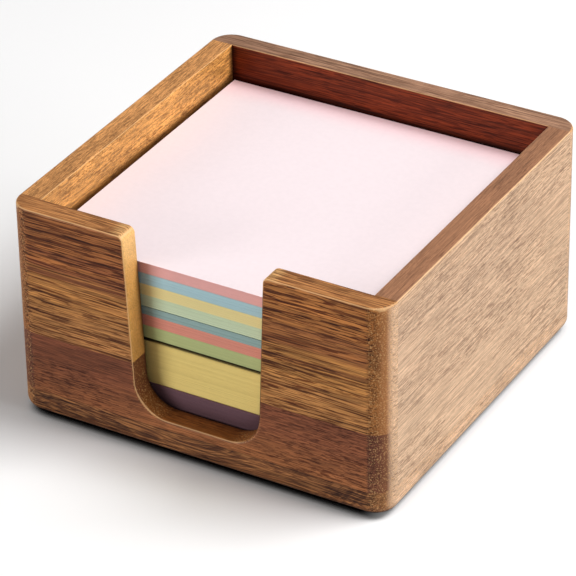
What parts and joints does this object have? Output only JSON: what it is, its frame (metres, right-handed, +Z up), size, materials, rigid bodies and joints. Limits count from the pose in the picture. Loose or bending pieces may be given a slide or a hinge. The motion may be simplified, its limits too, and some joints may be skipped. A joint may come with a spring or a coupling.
{
  "type": "memo pad holder",
  "caption": "Square open-top wooden box that holds a stack of memo notes, with a U-shaped finger notch in its front wall.",
  "frame": {"origin": "on the desk, under the middle of the box", "axes": "+X to the right along the front, -Y out of the front, +Z up"},
  "size_m": [0.0886, 0.0872, 0.0508],
  "materials": {
    "oiled_wood": "satin",
    "base_wood": "satin",
    "anti_slip": "matte",
    "pink_paper": "matte",
    "blue_paper": "matte",
    "yellow_paper": "matte",
    "light_green_paper": "matte",
    "teal_paper": "matte",
    "coral_paper": "matte",
    "green_paper": "matte",
    "purple_paper": "matte"
  },
  "bodies": {
    "holder": {"base_board": "base_wood", "front_lower_stave": "oiled_wood", "front_left_upper_stave": "oiled_wood", "front_right_upper_stave": "oiled_wood", "back_lower_stave": "oiled_wood", "back_upper_stave": "oiled_wood", "left_board": "oiled_wood", "right_board": "oiled_wood", "front_left_foot": "anti_slip", "front_right_foot": "anti_slip", "back_left_foot": "anti_slip", "back_right_foot": "anti_slip"},
    "purple_notes": {"purple_pad": "purple_paper"},
    "yellow_notes": {"yellow_pad": "yellow_paper"},
    "lower_notes": {"lower_pad_green_leaves": "green_paper", "lower_pad_coral_leaves": "coral_paper", "lower_pad_teal_leaves": "teal_paper"},
    "upper_notes": {"upper_pad_green_leaves": "light_green_paper", "upper_pad_yellow_leaves": "yellow_paper", "upper_pad_blue_leaves": "blue_paper", "upper_pad_pink_leaves": "pink_paper"}
  },
  "joints": [
    {"name": "lift_purple_notes", "type": "slide", "parent": "holder", "child": "purple_notes", "axis": [0, 0, 1], "range_m": [0, 0.048]},
    {"name": "lift_yellow_notes", "type": "slide", "parent": "purple_notes", "child": "yellow_notes", "axis": [0, 0, 1], "range_m": [0, 0.042]},
    {"name": "lift_lower_notes", "type": "slide", "parent": "yellow_notes", "child": "lower_notes", "axis": [0, 0, 1], "range_m": [0, 0.031]},
    {"name": "lift_upper_notes", "type": "slide", "parent": "lower_notes", "child": "upper_notes", "axis": [0, 0, 1], "range_m": [0, 0.023]}
  ]
}
